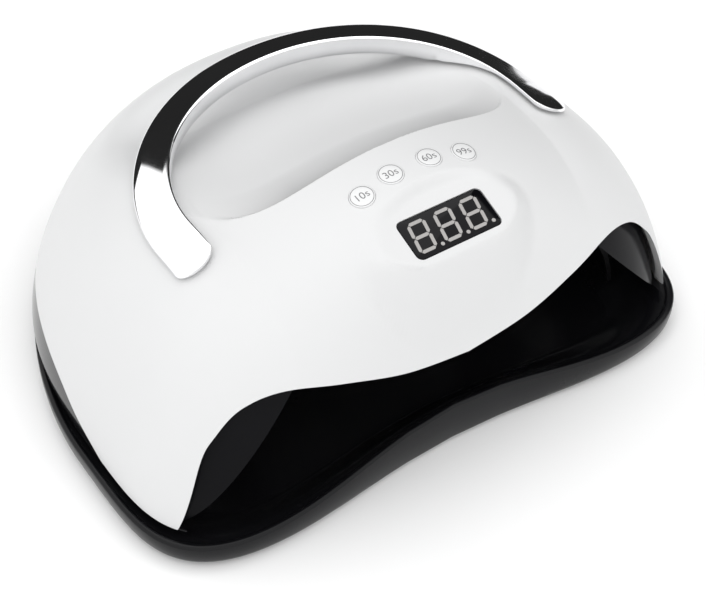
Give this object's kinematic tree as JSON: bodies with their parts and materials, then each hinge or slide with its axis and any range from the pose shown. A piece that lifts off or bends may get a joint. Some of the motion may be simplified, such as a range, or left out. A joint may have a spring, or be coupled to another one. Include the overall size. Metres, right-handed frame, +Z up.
{
  "type": "uv curing lamp",
  "caption": "Domed desk-top UV curing lamp with a carry handle, a digital timer panel with push keys, an open front cavity and a lift-off base tray.",
  "frame": {"origin": "centre of the bounding box's base, on the surface the lamp stands on", "axes": "+Z up, +X to the lamp's right seen from its open front, the opening faces -Y"},
  "size_m": [0.24, 0.2092, 0.1111],
  "materials": {
    "shell_white": "smooth glossy white ABS",
    "gloss_black": "polished black ABS",
    "tray_black": "satin-gloss black ABS",
    "reflector_black": "dark glossy inner liner",
    "chrome": "mirror-bright plating",
    "smoked_lens": "smoked polished window",
    "module_grey": "moulded grey case",
    "board_green": "solder-masked glass-epoxy board",
    "led_board_white": "white solder-masked board with clear lenses",
    "button_white": "satin white key",
    "steel": "zinc-plated steel",
    "magnet_nickel": "nickel-plated magnet",
    "foot_rubber": "matt soft rubber",
    "lead_black": "insulated flexible lead",
    "switch_grey": "moulded switch body"
  },
  "bodies": {
    "base": {"base_tray": "tray_black", "rubber_foot_1": "foot_rubber", "rubber_foot_2": "foot_rubber", "rubber_foot_3": "foot_rubber", "rubber_foot_4": "foot_rubber", "catch_plate_1": "steel", "catch_plate_2": "steel", "catch_plate_3": "steel", "catch_plate_4": "steel"},
    "lamp": {"top_shell": "shell_white", "lower_housing": "gloss_black", "front_bezel": "gloss_black", "reflector": "reflector_black", "led_board_roof": "led_board_white", "led_board_left": "led_board_white", "led_board_right": "led_board_white", "led_board_rear": "led_board_white", "sensor_emitter": "smoked_lens", "sensor_receiver": "smoked_lens", "control_board": "board_green", "display_module": "module_grey", "display_window": "smoked_lens", "switch_10s": "switch_grey", "switch_30s": "switch_grey", "switch_60s": "switch_grey", "switch_99s": "switch_grey", "power_jack": "gloss_black", "power_lead": "lead_black", "handle_frame": "chrome", "handle_screw_left": "steel", "handle_screw_right": "steel", "housing_screw_1": "steel", "housing_screw_2": "steel", "housing_screw_3": "steel", "housing_screw_4": "steel", "tray_magnet_1": "magnet_nickel", "tray_magnet_2": "magnet_nickel", "tray_magnet_3": "magnet_nickel", "tray_magnet_4": "magnet_nickel"},
    "button_10s": {"button_10s": "button_white"},
    "button_30s": {"button_30s": "button_white"},
    "button_60s": {"button_60s": "button_white"},
    "button_99s": {"button_99s": "button_white"}
  },
  "joints": [
    {"name": "lamp_lift", "type": "slide", "parent": "base", "child": "lamp", "axis": [0, 0, 1], "range_m": [0, 0.12]},
    {"name": "button_10s_press", "type": "slide", "parent": "lamp", "child": "button_10s", "axis": [0.1961, 0.1155, -0.9738], "range_m": [0, 0.0008], "stiffness_N_per_m": 400},
    {"name": "button_30s_press", "type": "slide", "parent": "lamp", "child": "button_30s", "axis": [0.072, 0.0716, -0.9948], "range_m": [0, 0.0008], "stiffness_N_per_m": 400},
    {"name": "button_60s_press", "type": "slide", "parent": "lamp", "child": "button_60s", "axis": [-0.072, 0.0716, -0.9948], "range_m": [0, 0.0008], "stiffness_N_per_m": 400},
    {"name": "button_99s_press", "type": "slide", "parent": "lamp", "child": "button_99s", "axis": [-0.1961, 0.1155, -0.9738], "range_m": [0, 0.0008], "stiffness_N_per_m": 400}
  ]
}
